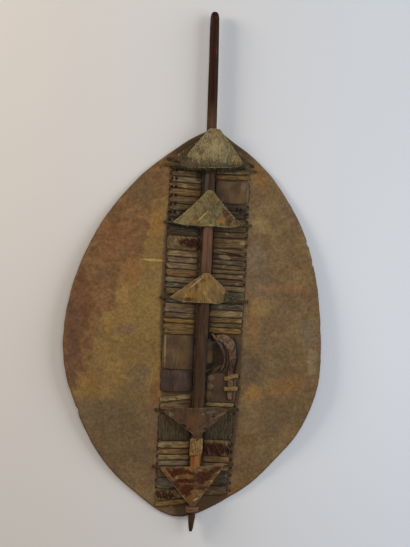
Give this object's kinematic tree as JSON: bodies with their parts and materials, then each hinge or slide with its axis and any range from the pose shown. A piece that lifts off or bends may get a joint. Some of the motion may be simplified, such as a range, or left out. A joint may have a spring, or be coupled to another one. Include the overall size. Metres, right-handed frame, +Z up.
{
  "type": "hide shield",
  "caption": "Oval rawhide shield lying on its face, back up, with laced slits, a long carrying stick under triangular hide tabs, and a hand loop.",
  "frame": {"origin": "middle of the shield's bounding box, on the surface that it lies on", "axes": "+Z up through the back of the shield, +Y along the carrying stick towards its long bare end, +X to the right seen from the back with that end up"},
  "size_m": [0.4599, 0.93, 0.0368],
  "materials": {
    "body_hide": "dry rawhide, scraped flesh side, matt with worn waxy patches",
    "lacing_hide": "dry rawhide thong, matt",
    "panel_hide": "smooth dark rawhide, worn",
    "hair_hide": "cowhide with short dark red-brown hair",
    "tab_hide": "stiff rawhide with traces of short hair",
    "dark_hide": "dark folded rawhide",
    "loop_hide": "twisted hide strap, greasy from the hand",
    "pale_hide": "pale rawhide thong",
    "stick_wood": "dark hardwood polished by handling"
  },
  "bodies": {
    "root": {"lace_left_1": "lacing_hide", "lace_left_2": "lacing_hide", "lace_left_3": "lacing_hide", "lace_left_4": "lacing_hide", "lace_left_5": "lacing_hide", "lace_left_6": "lacing_hide", "lace_left_7": "lacing_hide", "lace_left_8": "lacing_hide", "lace_left_9": "lacing_hide", "lace_right_1": "lacing_hide", "lace_right_2": "lacing_hide", "lace_right_3": "lacing_hide", "lace_right_4": "lacing_hide", "lace_right_5": "lacing_hide", "lace_right_6": "lacing_hide", "lace_right_7": "lacing_hide", "lace_right_8": "lacing_hide", "lace_right_9": "lacing_hide", "lace_right_10": "lacing_hide", "panel_left_1": "panel_hide", "panel_left_2": "panel_hide", "panel_left_3": "panel_hide", "panel_right_1": "panel_hide", "panel_right_2": "panel_hide", "panel_right_3": "panel_hide", "patch_left_1": "hair_hide", "patch_left_2": "hair_hide", "patch_right_1": "hair_hide", "tab_1": "tab_hide", "tab_2": "tab_hide", "tab_3": "tab_hide", "tab_4": "tab_hide", "tab_5": "tab_hide", "top_under_tab": "dark_hide", "hand_loop": "loop_hide", "tie_1": "pale_hide", "tie_2": "pale_hide", "sleeve": "pale_hide", "knot": "loop_hide", "stick": "stick_wood", "hide": "body_hide"}
  },
  "joints": []
}
